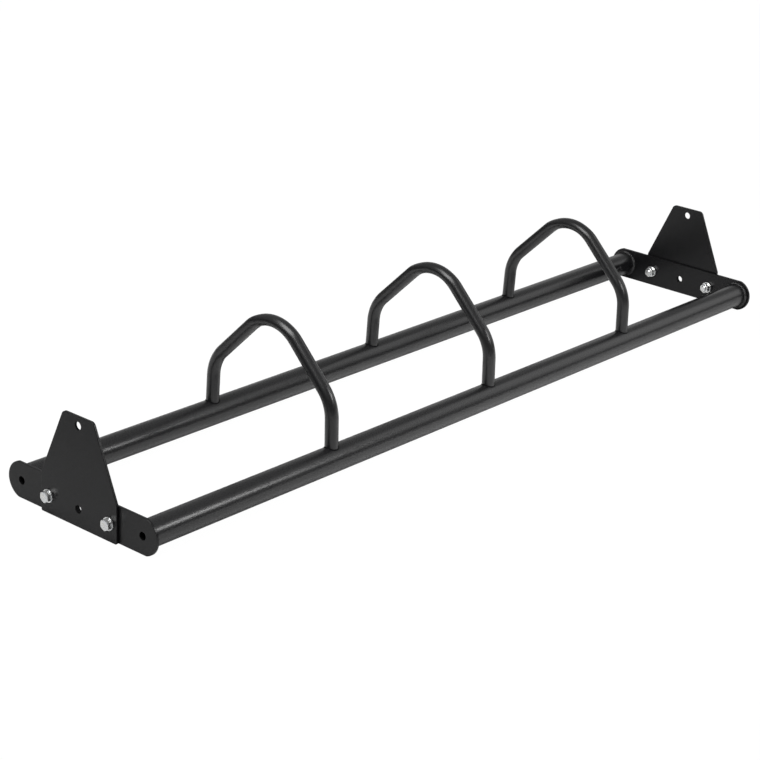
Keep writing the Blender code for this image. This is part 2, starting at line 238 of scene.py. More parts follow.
mill_steel = bpy.data.materials.new("mill_scale_steel")
mill_steel.use_nodes = True
tree = mill_steel.node_tree
shader = tree.nodes["Principled BSDF"]
shader.inputs["Metallic"].default_value = SCALE_METALLIC
shader.inputs["Roughness"].default_value = SCALE_ROUGHNESS
where = add_node(tree, "ShaderNodeTexCoord").outputs["Object"]
patches = add_node(tree, "ShaderNodeTexNoise", {"Scale": 1 / SCALE_PATCH, "Detail": 4.0}, {"Vector": where})
scale_tint = add_node(
    tree,
    "ShaderNodeMix",
    {"data_type": "RGBA", 6: colour("#1c1a19"), 7: colour("#37322f")},
    {0: patches.outputs["Fac"]},
)
tree.links.new(scale_tint.outputs[2], shader.inputs["Base Color"])
print("bore finish:", mill_steel.name)

# %% [markdown]
# ## Bright zinc
#
# The bolts, nuts and washers are steel with a thin layer of electroplated zinc and a clear
# passivate over it. It is a metal, so its colour is the colour of its reflection, a cool
# light grey, and the passivate adds faint blue and straw tints. Forging and tumbling leave
# the surface a little uneven, so the reflections are broken into soft patches.

# %% Zinc plate
TINT_PATCH = 5.0 * MM
TUMBLE_MARK = 1.5 * MM
ZINC_SPREAD = 0.08


def zinc_plate(name, roughness, dent):
    """Electroplated zinc with a clear passivate, over a surface with dents of a given depth."""
    material = bpy.data.materials.new(name)
    material.use_nodes = True
    tree = material.node_tree
    shader = tree.nodes["Principled BSDF"]
    shader.inputs["Metallic"].default_value = 1.0
    where = add_node(tree, "ShaderNodeTexCoord").outputs["Object"]
    film = add_node(tree, "ShaderNodeTexNoise", {"Scale": 1 / TINT_PATCH, "Detail": 2.0}, {"Vector": where})
    marks = add_node(tree, "ShaderNodeTexNoise", {"Scale": 1 / TUMBLE_MARK, "Detail": 3.0}, {"Vector": where})
    tint = add_node(
        tree,
        "ShaderNodeMix",
        {"data_type": "RGBA", 6: colour("#cfd4dc"), 7: colour("#dedbd2")},
        {0: film.outputs["Fac"]},
    )
    sheen = add_node(
        tree,
        "ShaderNodeMapRange",
        {
            "From Min": NOISE_LOW,
            "From Max": NOISE_HIGH,
            "To Min": roughness - ZINC_SPREAD,
            "To Max": roughness + ZINC_SPREAD,
        },
        {"Value": marks.outputs["Fac"]},
    )
    dents = add_node(tree, "ShaderNodeBump", {"Distance": dent}, {"Height": marks.outputs["Fac"]})
    tree.links.new(tint.outputs[2], shader.inputs["Base Color"])
    tree.links.new(sheen.outputs["Result"], shader.inputs["Roughness"])
    tree.links.new(dents.outputs["Normal"], shader.inputs["Normal"])
    return material


bolt_zinc = zinc_plate("bolt_bright_zinc", roughness=0.28, dent=0.025 * MM)
nut_zinc = zinc_plate("nut_bright_zinc", roughness=0.28, dent=0.03 * MM)
washer_zinc = zinc_plate("washer_bright_zinc", roughness=0.34, dent=0.03 * MM)
print("zinc made:", bolt_zinc.name, nut_zinc.name, washer_zinc.name)

# %% [markdown]
# ## From rings to a piece
#
# Most of the rack is round in section: tubes, beads, washers, bolts. Each of these can be
# seen as a row of rings, with faces between one ring and the next. So one function joins
# rings into a skin, and one turns a finished mesh into a piece: it shades it, puts it on
# the rack's one body, and hides the imported piece that it stands for.

# %% Join rings into a skin
def join_rows(shape, first, second, finish=0):
    """Faces between two rows of vertices, where each row is a closed ring."""
    for here in range(len(first)):
        after = (here + 1) % len(first)
        face = shape.faces.new((first[here], first[after], second[after], second[here]))
        face.material_index = finish


def skin(rings, closed=True, second_finish=()):
    """A mesh through rings. It runs back to its first ring, or has a cap at either end."""
    shape = bmesh.new()
    rows = [[shape.verts.new(point) for point in ring] for ring in rings]
    for index, (first, second) in enumerate(zip(rows, rows[1:])):
        join_rows(shape, first, second, 1 if index in second_finish else 0)
    if closed:
        join_rows(shape, rows[-1], rows[0])
    else:
        shape.faces.new(rows[0])
        shape.faces.new(rows[-1])
    bmesh.ops.recalc_face_normals(shape, faces=shape.faces)
    return shape


# %% Turn a mesh into a piece of the rack
CREASE = math.radians(40.0)


def mesh_of(name, shape, finishes):
    """A smooth shaded mesh that stays sharp where its faces meet at more than the crease."""
    mesh = bpy.data.meshes.new(name)
    shape.to_mesh(mesh)
    shape.free()
    for finish in finishes:
        mesh.materials.append(finish)
    mesh.shade_smooth()
    mesh.set_sharp_from_angle(angle=CREASE)
    return mesh


def fit_piece(name, mesh, node, place=None):
    """Put a mesh on the rack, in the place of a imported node."""
    piece = bpy.data.objects.new(name, mesh)
    bpy.context.scene.collection.objects.link(piece)
    if place is not None:
        piece.matrix_world = place
    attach(piece, "root")
    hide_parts(node)
    return piece


# %% [markdown]
# ## Rails
#
# Each rail is a straight length of welded steel tube, 50 mm across with a 3 mm wall, sawn
# square and closed by the end plates. A plain cylinder primitive has no wall, so the tube is
# four rings: the outer skin from one end to the other, and the bore back again. The bore
# shows through the vent holes and gets the bare steel.

# %% Two rails
RAIL_WALL = 3.0 * MM
RAIL_SIDES = 96


def ring_about_x(radius, along, sides, centre=(0.0, 0.0)):
    """A ring about the X axis, moved to a centre in Y and Z."""
    turns = [2 * math.pi * step / sides for step in range(sides)]
    return [
        Vector((along, centre[0] + radius * math.cos(turn), centre[1] + radius * math.sin(turn)))
        for turn in turns
    ]


bore = RAIL_RADIUS - RAIL_WALL
for label, row in (("front", -RAIL_ROW), ("back", RAIL_ROW)):
    centre = (row, RAIL_HEIGHT)
    rings = [
        ring_about_x(RAIL_RADIUS, -RAIL_END, RAIL_SIDES, centre),
        ring_about_x(RAIL_RADIUS, RAIL_END, RAIL_SIDES, centre),
        ring_about_x(bore, RAIL_END, RAIL_SIDES, centre),
        ring_about_x(bore, -RAIL_END, RAIL_SIDES, centre),
    ]
    mesh = mesh_of(f"{label}_rail_tube", skin(rings, second_finish=(2,)), [rail_coat, mill_steel])
    fit_piece(f"{label}_rail_tube", mesh, f"{label}_rail")
print(f"two rails of {2000 * RAIL_END:.0f} mm")

# %% [markdown]
# ## Dividers
#
# A divider is one 25 mm tube, bent three times in a tube bender: 43 degrees at each shoulder
# and 90 degrees at the top. Its feet are coped, cut to a saddle that sits on the rail.
#
# A curve with a bevel would be quick, but it can't cope its ends, and a real bend isn't
# perfectly round: the tube goes a little flat, most in the long bend at the top, and its
# sides swell. So the centre line is walked in short steps, and each step gets a ring of its
# own shape. The bore is the same walk with a smaller radius, and the skin closes round the
# feet.

# %% The sizes of a divider
DIVIDER_RADIUS = 12.5 * MM
DIVIDER_WALL = 2.0 * MM
BEND_RADIUS = 78.0 * MM
SHOULDER_RISE = 106.5 * MM
LEG_LEAN = math.radians(2.0)
SIDE_SLOPE = math.radians(45.0)
SEAT_GAP = 0.3 * MM
DIVIDER_SIDES = 48
BEND_STEPS_PER_TURN = 120
BEND_SINK = (0.04, 0.13, 0.04)
SWELL_SHARE = 0.6

shoulder_reach = RAIL_ROW - SHOULDER_RISE * math.tan(LEG_LEAN)
shoulder_turn = math.pi / 2 - LEG_LEAN - SIDE_SLOPE
apex_turn = 2 * SIDE_SLOPE
shoulder_setback = BEND_RADIUS * math.tan(shoulder_turn / 2)
apex_setback = BEND_RADIUS * math.tan(apex_turn / 2)
leg_length = SHOULDER_RISE / math.cos(LEG_LEAN) - shoulder_setback
side_length = shoulder_reach / math.cos(SIDE_SLOPE) - shoulder_setback - apex_setback
print(f"straight runs of {1000 * leg_length:.1f} mm at the legs and {1000 * side_length:.1f} mm above")

# %% [markdown]
# The walk keeps a place, a heading and how far the wall has sunk there, as a share of the
# radius: 4 % at the shoulders and 13 % at the top. In a bend it turns about the bend's
# centre, and the sinking fades in and out over the first and last quarter of the turn, as it
# does where a real tube enters and leaves the bending die.

# %% Walk along the centre line of a divider
FADE_SHARE = 0.25


def walk_divider():
    """Stations along the tube: a place, the heading's angle and how far the wall has sunk."""
    place = Vector((0.0, -RAIL_ROW, 0.0))
    angle = math.pi / 2 - LEG_LEAN
    stations = []
    runs = [leg_length, side_length, side_length, leg_length]
    turns = [shoulder_turn, apex_turn, shoulder_turn]
    for run, turn, sink in zip(runs, turns + [0.0], BEND_SINK + (0.0,)):
        stations.append((place.copy(), angle, 0.0))
        place += run * Vector((0.0, math.cos(angle), math.sin(angle)))
        steps = round(turn / (2 * math.pi) * BEND_STEPS_PER_TURN)
        centre = place + BEND_RADIUS * Vector((0.0, math.sin(angle), -math.cos(angle)))
        arm = place - centre
        for step in range(steps):
            share = step / steps
            fade = min(1.0, min(share, 1.0 - share) / FADE_SHARE)
            turned = centre + Matrix.Rotation(-turn * share, 3, "X") @ arm
            stations.append((turned, angle - turn * share, sink * fade * fade * (3.0 - 2.0 * fade)))
        if steps:
            place = centre + Matrix.Rotation(-turn, 3, "X") @ arm
            angle -= turn
    stations.append((place.copy(), angle, 0.0))
    return stations


line = walk_divider()
top = max(station[0].z for station in line)
print(f"{len(line)} stations, centre line {1000 * top:.1f} mm over the rail axis at the top")

# %% [markdown]
# A ring is drawn in the plane across the heading. Where the wall has sunk, the ring is an
# oval: lower from the outside of the bend to the inside, and wider by 0.6 of the same share.
# At a foot there is no plane: each point runs down along the leg until it meets the rail.
# The leg's axis crosses the rail's axis, so the drop is found with Pythagoras, from how far
# the point lies across.

# %% Rings of the tube, with a saddle at each foot
def tube_ring(station, radius):
    """The ring at a station, flattened as far as the wall has sunk there."""
    place, angle, sunk = station
    outside = Vector((0.0, -math.sin(angle), math.cos(angle)))
    ring = []
    for step in range(DIVIDER_SIDES):
        turn = 2 * math.pi * step / DIVIDER_SIDES
        sideways = radius * math.cos(turn) * (1.0 + SWELL_SHARE * sunk)
        outward = radius * math.sin(turn) * (1.0 - sunk)
        ring.append(place + sideways * Vector((1.0, 0.0, 0.0)) + outward * outside)
    return ring


def saddle_rise(across):
    """How far above the rail's axis a line meets the rail, at a distance across it."""
    return math.sqrt((RAIL_RADIUS + SEAT_GAP) ** 2 - across ** 2)


def foot_ring(station, radius, upward):
    """The ring where the tube ends on the rail. Upward is 1 at the front foot, -1 at the back."""
    heading = Vector((0.0, math.cos(station[1]), math.sin(station[1])))
    axis = Vector((0.0, station[0].y, 0.0))
    ring = []
    for point in tube_ring((axis, station[1], 0.0), radius):
        across = (point - axis).length_squared - point.x ** 2
        ring.append(point + upward * heading * saddle_rise(math.sqrt(max(0.0, across))))
    return ring


# %% Three dividers
LEG_START = 8.0 * MM


def divider_wall(radius):
    """All rings of one skin of the tube, from the front foot to the back one."""
    front, back = line[0], line[-1]
    up_front = Vector((0.0, math.cos(front[1]), math.sin(front[1])))
    up_back = Vector((0.0, -math.cos(back[1]), -math.sin(back[1])))
    start = RAIL_RADIUS + LEG_START
    rings = [foot_ring(front, radius, 1)]
    rings.append(tube_ring((front[0] + up_front * start, front[1], 0.0), radius))
    rings += [tube_ring(station, radius) for station in line[1:-1]]
    rings.append(tube_ring((back[0] + up_back * start, back[1], 0.0), radius))
    rings.append(foot_ring(back, radius, -1))
    return rings


outer_wall = divider_wall(DIVIDER_RADIUS)
inner_wall = divider_wall(DIVIDER_RADIUS - DIVIDER_WALL)
divider_shape = skin(outer_wall + inner_wall[::-1])
divider_mesh = mesh_of("divider_tube", divider_shape, [divider_coat])
for label in ("left", "middle", "right"):
    low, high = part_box(f"{label}_divider")
    stand = Matrix.Translation(((low.x + high.x) / 2, 0.0, RAIL_HEIGHT))
    fit_piece(f"{label}_divider_tube", divider_mesh, f"{label}_divider", stand)
print(f"three dividers of {len(divider_mesh.polygons)} faces each")

# %% [markdown]
# ## Weld beads
#
# The frame is welded with a wire gun. The wire melts in pulses, so a bead is a row of small
# overlapping scales, each bowed forward in the middle, about 2 mm from one to the next. The
# hand that holds the gun wavers a little, so the bead's width wavers too. Both the height of
# the scales and the waver are shares of the bead's leg, how far it reaches on each metal.
#
# A bump map could fake the scales, but the bead's outline shows against the light, so they
# are modelled. A bead is a ring of sections. Each section is a fillet between two toes, one
# on each metal, and bulges between them. A formula gives the scales' height at any point.

# %% The height of the scales on a bead
SCALE_PITCH = 2.2 * MM
SCALE_SHARE = 0.11
SCALE_BOW = 1.6 * MM
WAVER_SHARE = 0.2
WAVER_LENGTH = 9.0 * MM
SECTIONS_PER_SCALE = 6
SECTION_POINTS = 9


def scale_height(along, across, length):
    """Height of the scales as a share, along a seam of a given length and across it from 0 to 1."""
    count = round(length / SCALE_PITCH)
    bow = SCALE_BOW * 4.0 * across * (1.0 - across)
    phase = (along + bow) / length * count
    scale = abs(math.sin(math.pi * phase))
    return SCALE_SHARE * scale * math.sin(math.pi * across)


def waver(share, length, seed):
    """What share the bead's width strays at a share of its ring, the same after a full turn."""
    reach = length / WAVER_LENGTH / (2 * math.pi)
    turn = 2 * math.pi * share
    spot = Vector((reach * math.cos(turn), reach * math.sin(turn), seed))
    return WAVER_SHARE * noise.noise(spot)


# %% A fillet bead between two toes
BEAD_BULGE = 0.20


def bead_section(root, first_way, second_way, leg, share, length, seed):
    """One section: from the root along each metal to a toe, with a scaly bulge between."""
    wide = leg * (1.0 + waver(share, length, seed))
    first_toe = root + first_way * wide
    second_toe = root + second_way * wide
    out = (first_way + second_way).normalized()
    points = [root]
    for step in range(SECTION_POINTS):
        across = step / (SECTION_POINTS - 1)
        rise = BEAD_BULGE * wide * math.sin(math.pi * across)
        rise += leg * scale_height(share * length, across, length)
        points.append(first_toe.lerp(second_toe, across) + out * rise)
    return points


def bead_sections(length):
    """How many sections a ring bead of this length needs."""
    return SECTIONS_PER_SCALE * round(length / SCALE_PITCH)


# %% [markdown]
# Where a rail meets its end plate the seam is a plain circle, with one toe on the plate and
# one on the rail. Each of the four gets its own seed, so no two beads waver alike.

# %% Beads round the rail ends
RAIL_BEAD_LEG = 4.5 * MM


def rail_bead(row, end, seed):
    """The bead between one rail and one end plate. End is -1 at the left and 1 at the right."""
    root_radius = RAIL_RADIUS + SEAT_GAP
    length = 2 * math.pi * (root_radius + RAIL_BEAD_LEG / 2)
    count = bead_sections(length)
    sections = []
    for step in range(count):
        turn = 2 * math.pi * step / count
        outward = Vector((0.0, math.cos(turn), math.sin(turn)))
        centre = Vector((end * (PLATE_INNER - SEAT_GAP), row, RAIL_HEIGHT))
        root = centre + outward * root_radius
        along_rail = Vector((-end, 0.0, 0.0))
        sections.append(bead_section(root, outward, along_rail, RAIL_BEAD_LEG, step / count, length, seed))
    return skin(sections)


bead_seed = 0
for side, end in (("left", -1), ("right", 1)):
    for label, row in (("front", -RAIL_ROW), ("back", RAIL_ROW)):
        bead_seed += 1
        name = f"{side}_{label}_rail_bead"
        mesh = mesh_of(name, rail_bead(row, end, bead_seed), [weld_coat])
        fit_piece(name, mesh, f"{side}_{label}_rail_weld")
print(f"four rail beads of {len(mesh.polygons)} faces")

# %% [markdown]
# Round a divider's foot the seam follows the saddle: it dips at both flanks of the rail. One
# toe runs up the leg. The other runs down the rail, so at each angle the slope of the rail
# is worked out from two points of the saddle curve. The bead is a thin one, laid deep in the
# groove. Its coat is darker, as painted shade for the groove, so it shows as a dark line round the foot.

# %% Beads round the divider feet
DIVIDER_BEAD_LEG = 1.1 * MM


def saddle_point(radius, turn):
    """A point of the saddle, at a radius from the leg's axis and an angle about it."""
    across = radius * math.sin(turn)
    return Vector((radius * math.cos(turn), across, saddle_rise(across)))


def divider_bead(seed):
    """The bead round one foot, about the leg's axis, with the rail's axis at zero height."""
    inner = DIVIDER_RADIUS + SEAT_GAP
    length = 2 * math.pi * (inner + DIVIDER_BEAD_LEG / 2)
    count = bead_sections(length)
    sections = []
    for step in range(count):
        turn = 2 * math.pi * step / count
        root = saddle_point(inner, turn)
        down_rail = (saddle_point(inner + DIVIDER_BEAD_LEG, turn) - root).normalized()
        up_leg = Vector((0.0, 0.0, 1.0))
        sections.append(bead_section(root, down_rail, up_leg, DIVIDER_BEAD_LEG, step / count, length, seed))
    return skin(sections)


for divider in ("left_divider", "middle_divider", "right_divider"):
    low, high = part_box(divider)
    for label, side in (("front", -1), ("back", 1)):
        bead_seed += 1
        name = f"{divider}_{label}_bead"
        # The bead's darker coat is painted shade in the groove round the foot.
        mesh = mesh_of(name, divider_bead(bead_seed), [thin_film_and_shade_coat])
        place = Matrix.Translation(((low.x + high.x) / 2, side * RAIL_ROW, RAIL_HEIGHT))
        lean = Matrix.Rotation(side * LEG_LEAN, 4, "X")
        fit_piece(name, mesh, f"{divider}_{label}_weld", place @ lean)
print(f"six divider beads of {len(mesh.polygons)} faces")

# %% [markdown]
# ## Flat plates
#
# End plates and brackets are cut from 5 mm steel with a laser, brushed to take off the
# burr, and coated. What is left along the outline is a small round, about 0.7 mm. It matters
# more than its size: that round is where a dark plate catches the light, as a thin bright
# line along its edge. The brush hardly reaches into the holes, so their rims stay crisper.
#
# A Bevel modifier struggles where the outline is made of many short edges, at the holes and
# the round ends. So the outline is drawn again for each step of the round, pulled in a
# little further towards either face. The same is done for every hole, and then the two flat
# faces are filled between outline and holes.

# %% How an edge is rounded
EDGE_ROUND = 0.7 * MM
HOLE_ROUND = 0.3 * MM
EDGE_STEPS = 4
QUARTER_TURN = [math.pi / 2 * step / EDGE_STEPS for step in range(EDGE_STEPS + 1)]


def edge_profile(thickness, edge_round):
    """How far each ring is pulled in, and how deep it lies, from one face to the other."""
    near = [(edge_round * (1 - math.sin(turn)), edge_round * (1 - math.cos(turn))) for turn in QUARTER_TURN]
    far = [(inset, thickness - depth) for inset, depth in reversed(near)]
    return near + far


# %% Holes, and a plate from its outlines
HOLE_POINTS = 48


def round_hole(diameter, across, height, inset):
    """A hole's outline. Pulling in the metal makes the circle larger."""
    radius = diameter / 2 + inset
    turns = [2 * math.pi * step / HOLE_POINTS for step in range(HOLE_POINTS)]
    return [(across + radius * math.cos(turn), height + radius * math.sin(turn)) for turn in turns]


def flat_plate(name, outline, holes, thickness, finish):
    """A plate from X = 0 outward. Outline and holes are functions of how far they are pulled in."""
    shape = bmesh.new()
    edges_by_face = {0: [], -1: []}
    for rim in [outline] + holes:
        rows = []
        for inset, depth in edge_profile(thickness, EDGE_ROUND if rim is outline else HOLE_ROUND):
            rows.append([shape.verts.new((depth, across, height)) for across, height in rim(inset)])
        for index, (first, second) in enumerate(zip(rows, rows[1:])):
            # A hole's wall takes the darker coat, whose colour is painted shade inside the hole.
            hole_wall = rim is not outline and index == EDGE_STEPS
            join_rows(shape, first, second, 1 if hole_wall else 0)
        for face, edges in edges_by_face.items():
            row = rows[face]
            edges += [shape.edges.get(pair) for pair in zip(row, row[1:] + row[:1])]
    for face, edges in edges_by_face.items():
        bmesh.ops.triangle_fill(shape, use_beauty=True, edges=edges, normal=(1.0, 0.0, 0.0))
    bmesh.ops.recalc_face_normals(shape, faces=shape.faces)
    return mesh_of(name, shape, [finish, thin_film_and_shade_coat])


def even_faces(piece):
    """Let the large flat faces set the shading, so that they look flat up to their rounds."""
    modifier = piece.modifiers.new("even faces", "WEIGHTED_NORMAL")
    modifier.keep_sharp = True


# %% [markdown]
# ## End plates
#
# An end plate is a bar with round ends about the rail axes. It has two holes for the
# bracket's bolts, a larger one for a bolt of the rig, and one at each rail, which lets the
# air out of the tube when it is welded and when the powder is melted on.

# %% Two end plates
LOBE_POINTS = 48
HOLE_DROP = 1.5 * MM
RIG_HOLE = 15.0 * MM
BOLT_HOLE = 13.0 * MM
VENT_HOLE = 15.0 * MM
BOLT_ROW = 75.0 * MM


def end_plate_outline(inset):
    """A bar with round ends, about the height of the rail axes."""
    half_height = PLATE_HEIGHT / 2 - inset
    radius = LOBE_RADIUS - inset
    half_sweep = math.asin(half_height / radius)
    outline = []
    for side in (1, -1):
        for step in range(LOBE_POINTS + 1):
            turn = half_sweep * (2 * step / LOBE_POINTS - 1)
            outline.append((side * (RAIL_ROW + radius * math.cos(turn)), side * radius * math.sin(turn)))
    return outline


bolt_holes = [partial(round_hole, BOLT_HOLE, side * BOLT_ROW, -HOLE_DROP) for side in (-1, 1)]
vent_holes = [partial(round_hole, VENT_HOLE, side * RAIL_ROW, 0.0) for side in (-1, 1)]
lower_rig_hole = partial(round_hole, RIG_HOLE, 0.0, -HOLE_DROP)
end_plate_holes = [lower_rig_hole] + bolt_holes + vent_holes
end_plate_mesh = flat_plate("end_plate", end_plate_outline, end_plate_holes, PLATE_THICKNESS, plate_coat)
for side in ("left", "right"):
    low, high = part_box(f"{side}_end_plate")
    place = Matrix.Translation((low.x, 0.0, RAIL_HEIGHT))
    even_faces(fit_piece(f"{side}_end_bar", end_plate_mesh, f"{side}_end_plate", place))
print(f"two end plates of {len(end_plate_mesh.polygons)} faces")

# %% [markdown]
# ## Rig brackets
#
# A bracket laps the end plate and rises from it as a tapered tongue, with a second hole for
# the rig near its top. Its corners are arcs. Pulled in, an arc keeps its centre and loses
# some of its radius, so the outline needs only the corners and a radius for each.

# %% Two rig brackets
BRACKET_TOP_WIDTH = 74.0 * MM
SHOULDER_HEIGHT = 71.0 * MM
UPPER_HOLE_MARGIN = 17.0 * MM
SMALL_CORNER = 3.0 * MM
LARGE_CORNER = 10.0 * MM
CORNER_POINTS = 10

bracket_low, bracket_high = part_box("right_rig_bracket")
foot_half = bracket_high.y
top_half = BRACKET_TOP_WIDTH / 2
lower_edge = bracket_low.z - RAIL_HEIGHT
shoulder = lower_edge + SHOULDER_HEIGHT
upper_edge = bracket_high.z - RAIL_HEIGHT
BRACKET_CORNERS = [
    ((-foot_half, lower_edge), SMALL_CORNER),
    ((foot_half, lower_edge), SMALL_CORNER),
    ((foot_half, shoulder), SMALL_CORNER),
    ((top_half, upper_edge), LARGE_CORNER),
    ((-top_half, upper_edge), LARGE_CORNER),
    ((-foot_half, shoulder), SMALL_CORNER),
]


def bracket_outline(inset):
    """Six corners, anticlockwise, each an arc that loses the inset from its radius."""
    outline = []
    for index, (corner, radius) in enumerate(BRACKET_CORNERS):
        corner = Vector(corner)
        back = (Vector(BRACKET_CORNERS[index - 1][0]) - corner).normalized()
        ahead = (Vector(BRACKET_CORNERS[(index + 1) % len(BRACKET_CORNERS)][0]) - corner).normalized()
        half_angle = back.angle(ahead) / 2
        centre = corner + (back + ahead).normalized() * (radius / math.sin(half_angle))
        arm = (corner + back * (radius / math.tan(half_angle)) - centre) * ((radius - inset) / radius)
        for step in range(CORNER_POINTS + 1):
            turn = (math.pi - 2 * half_angle) * step / CORNER_POINTS
            outline.append(tuple(centre + Matrix.Rotation(turn, 2) @ arm))
    return outline


upper_rig_hole = partial(round_hole, RIG_HOLE, 0.0, upper_edge - UPPER_HOLE_MARGIN)
bracket_thickness = bracket_high.x - bracket_low.x
bracket_holes = [lower_rig_hole, upper_rig_hole] + bolt_holes
bracket_mesh = flat_plate("rig_bracket", bracket_outline, bracket_holes, bracket_thickness, bracket_coat)
for side in ("left", "right"):
    low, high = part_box(f"{side}_rig_bracket")
    place = Matrix.Translation((low.x, 0.0, RAIL_HEIGHT))
    even_faces(fit_piece(f"{side}_rig_tongue", bracket_mesh, f"{side}_rig_bracket", place))
print(f"two brackets of {len(bracket_mesh.polygons)} faces")

# %% [markdown]
# ## Hexagons
#
# The bolts are M12 with hexagon heads, 19 mm across the flats. A head is pressed cold in a
# die and its corners are turned off to a 30 degree cone, which leaves the round face on top
# and a curved edge over each flat. The cone and the hexagon are easy to join when the head
# is seen as rings too: each point has its own radius, and its height follows from it.
#
# The points sit closer together near the corners, where the outline changes most. A die
# never fills a corner to the very edge, so the corners stop a little short.

# %% Rings for hexagon heads and nuts
ACROSS_FLATS = 19.0 * MM
FACE_SHARE = 0.95
FACE_RADIUS = FACE_SHARE * ACROSS_FLATS / 2
CORNER_RADIUS = 10.82 * MM
CONE = math.tan(math.radians(30.0))
FLAT_ANGLES = (-30.0, -27.5, -22.0, -11.0, 0.0, 11.0, 22.0, 27.5)
HEX_ANGLES = [math.radians(60 * flat + 30 + angle) for flat in range(6) for angle in FLAT_ANGLES]


def axis_ring(radius, along):
    """A round ring about the X axis at the angles of a hexagon. It starts at the top."""
    return [Vector((along, radius * math.sin(turn), radius * math.cos(turn))) for turn in HEX_ANGLES]


def hex_ring(along, slope=0.0, shrink=0.0):
    """A hexagon ring. A slope moves its points along the axis where the cone cuts them."""
    ring = []
    for index, turn in enumerate(HEX_ANGLES):
        off_flat = math.radians(FLAT_ANGLES[index % len(FLAT_ANGLES)])
        radius = min(ACROSS_FLATS / 2 / math.cos(off_flat), CORNER_RADIUS)
        drop = slope * CONE * (radius - FACE_RADIUS)
        radius -= shrink
        ring.append(Vector((along + drop, radius * math.sin(turn), radius * math.cos(turn))))
    return ring


print(f"{len(HEX_ANGLES)} points round each fastener")

# %% [markdown]
# ## Threads
#
# An M12 thread rises 1.75 mm in each turn. Its flanks stand at 60 degrees, with a flat on
# the crest and a rounded root. It could be a swept profile, but a helix is also just a
# radius that depends on two things: how far along the bolt a point lies, and its angle. So
# the shank stays a stack of rings, and a formula gives each point its radius. Rolled
# threads end in a cone, and fade out below the head.

# %% The radius of a thread
THREAD_PITCH = 1.75 * MM
THREAD_CREST = 5.95 * MM
THREAD_ROOT = 5.05 * MM
CREST_SHARE = 0.125
ROOT_SHARE = 0.25
RINGS_PER_TURN = 12


def thread_radius(along, turn):
    """The radius of an outside thread at a place along it and an angle about it."""
    phase = (along / THREAD_PITCH + turn / (2 * math.pi)) % 1.0
    from_root = abs(2 * phase - 1)
    height = (from_root - ROOT_SHARE) / (1.0 - ROOT_SHARE - CREST_SHARE)
    return THREAD_ROOT + (THREAD_CREST - THREAD_ROOT) * min(1.0, max(0.0, height))


# %% Four bolts
BOLT_END_RADIUS = 4.6 * MM
THREAD_FADE = 2.5 * MM
HEAD_COLLAR = 0.4 * MM
SOFT_EDGE = 0.25 * MM

bolt_low, bolt_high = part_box("right_front_bolt")
washer_low, washer_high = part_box("right_front_head_washer")
HEAD_SEAT = washer_high.x + SEAT_GAP
HEAD_HEIGHT = bolt_high.x - HEAD_SEAT
SHANK_LENGTH = HEAD_SEAT - bolt_low.x


def shank_ring(along):
    """One ring of the threaded shank, where the end is a cone and the thread fades out."""
    ring = []
    from_end = along + SHANK_LENGTH
    fade = min(1.0, max(0.0, -along / THREAD_FADE))
    for turn in HEX_ANGLES:
        cut = THREAD_CREST + (thread_radius(along, turn) - THREAD_CREST) * fade
        radius = min(cut, BOLT_END_RADIUS + from_end)
        ring.append(Vector((along, radius * math.sin(turn), radius * math.cos(turn))))
    return ring


shank_steps = round(SHANK_LENGTH / THREAD_PITCH * RINGS_PER_TURN)
bolt_rings = [shank_ring(SHANK_LENGTH * (step / shank_steps - 1)) for step in range(shank_steps + 1)]
bolt_rings += [
    axis_ring(FACE_RADIUS, 0.0),
    axis_ring(FACE_RADIUS, HEAD_COLLAR),
    hex_ring(HEAD_COLLAR, shrink=SOFT_EDGE),
    hex_ring(HEAD_COLLAR + SOFT_EDGE),
    hex_ring(HEAD_HEIGHT - SOFT_EDGE, slope=-1.0),
    hex_ring(HEAD_HEIGHT, slope=-1.0, shrink=SOFT_EDGE),
    axis_ring(FACE_RADIUS, HEAD_HEIGHT - SOFT_EDGE * CONE),
    axis_ring(FACE_RADIUS - 2 * SOFT_EDGE, HEAD_HEIGHT),
]
bolt_mesh = mesh_of("hex_bolt", skin(bolt_rings, closed=False), [bolt_zinc])
print(f"a bolt of {1000 * SHANK_LENGTH:.1f} mm under the head, {len(bolt_mesh.polygons)} faces")

# %% [markdown]
# ## Nuts and washers
#
# A nut is the same hexagon, coned on both faces, with a countersink at each end of its
# thread. The bolt fills the thread, so only the countersink shows and the bore stays plain.
# A washer is punched from strip: the punch drags one rim round and leaves the other crisp.

# %% A nut and a washer
NUT_BORE = 6.2 * MM
COUNTERSINK = 0.7 * MM
WASHER_BORE = 6.5 * MM
RIM_ROUND = 0.6 * MM
RIM_BREAK = 0.15 * MM

nut_low, nut_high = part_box("right_front_nut")
NUT_HEIGHT = nut_high.x - nut_low.x
nut_rings = [
    axis_ring(NUT_BORE, COUNTERSINK),
    axis_ring(NUT_BORE + COUNTERSINK, 0.0),
    axis_ring(FACE_RADIUS - 2 * SOFT_EDGE, 0.0),
    axis_ring(FACE_RADIUS, SOFT_EDGE * CONE),
    hex_ring(0.0, slope=1.0, shrink=SOFT_EDGE),
    hex_ring(SOFT_EDGE, slope=1.0),
    hex_ring(NUT_HEIGHT - SOFT_EDGE, slope=-1.0),
    hex_ring(NUT_HEIGHT, slope=-1.0, shrink=SOFT_EDGE),
    axis_ring(FACE_RADIUS, NUT_HEIGHT - SOFT_EDGE * CONE),
    axis_ring(FACE_RADIUS - 2 * SOFT_EDGE, NUT_HEIGHT),
    axis_ring(NUT_BORE + COUNTERSINK, NUT_HEIGHT),
    axis_ring(NUT_BORE, NUT_HEIGHT - COUNTERSINK),
]
nut_mesh = mesh_of("hex_nut", skin(nut_rings), [nut_zinc])

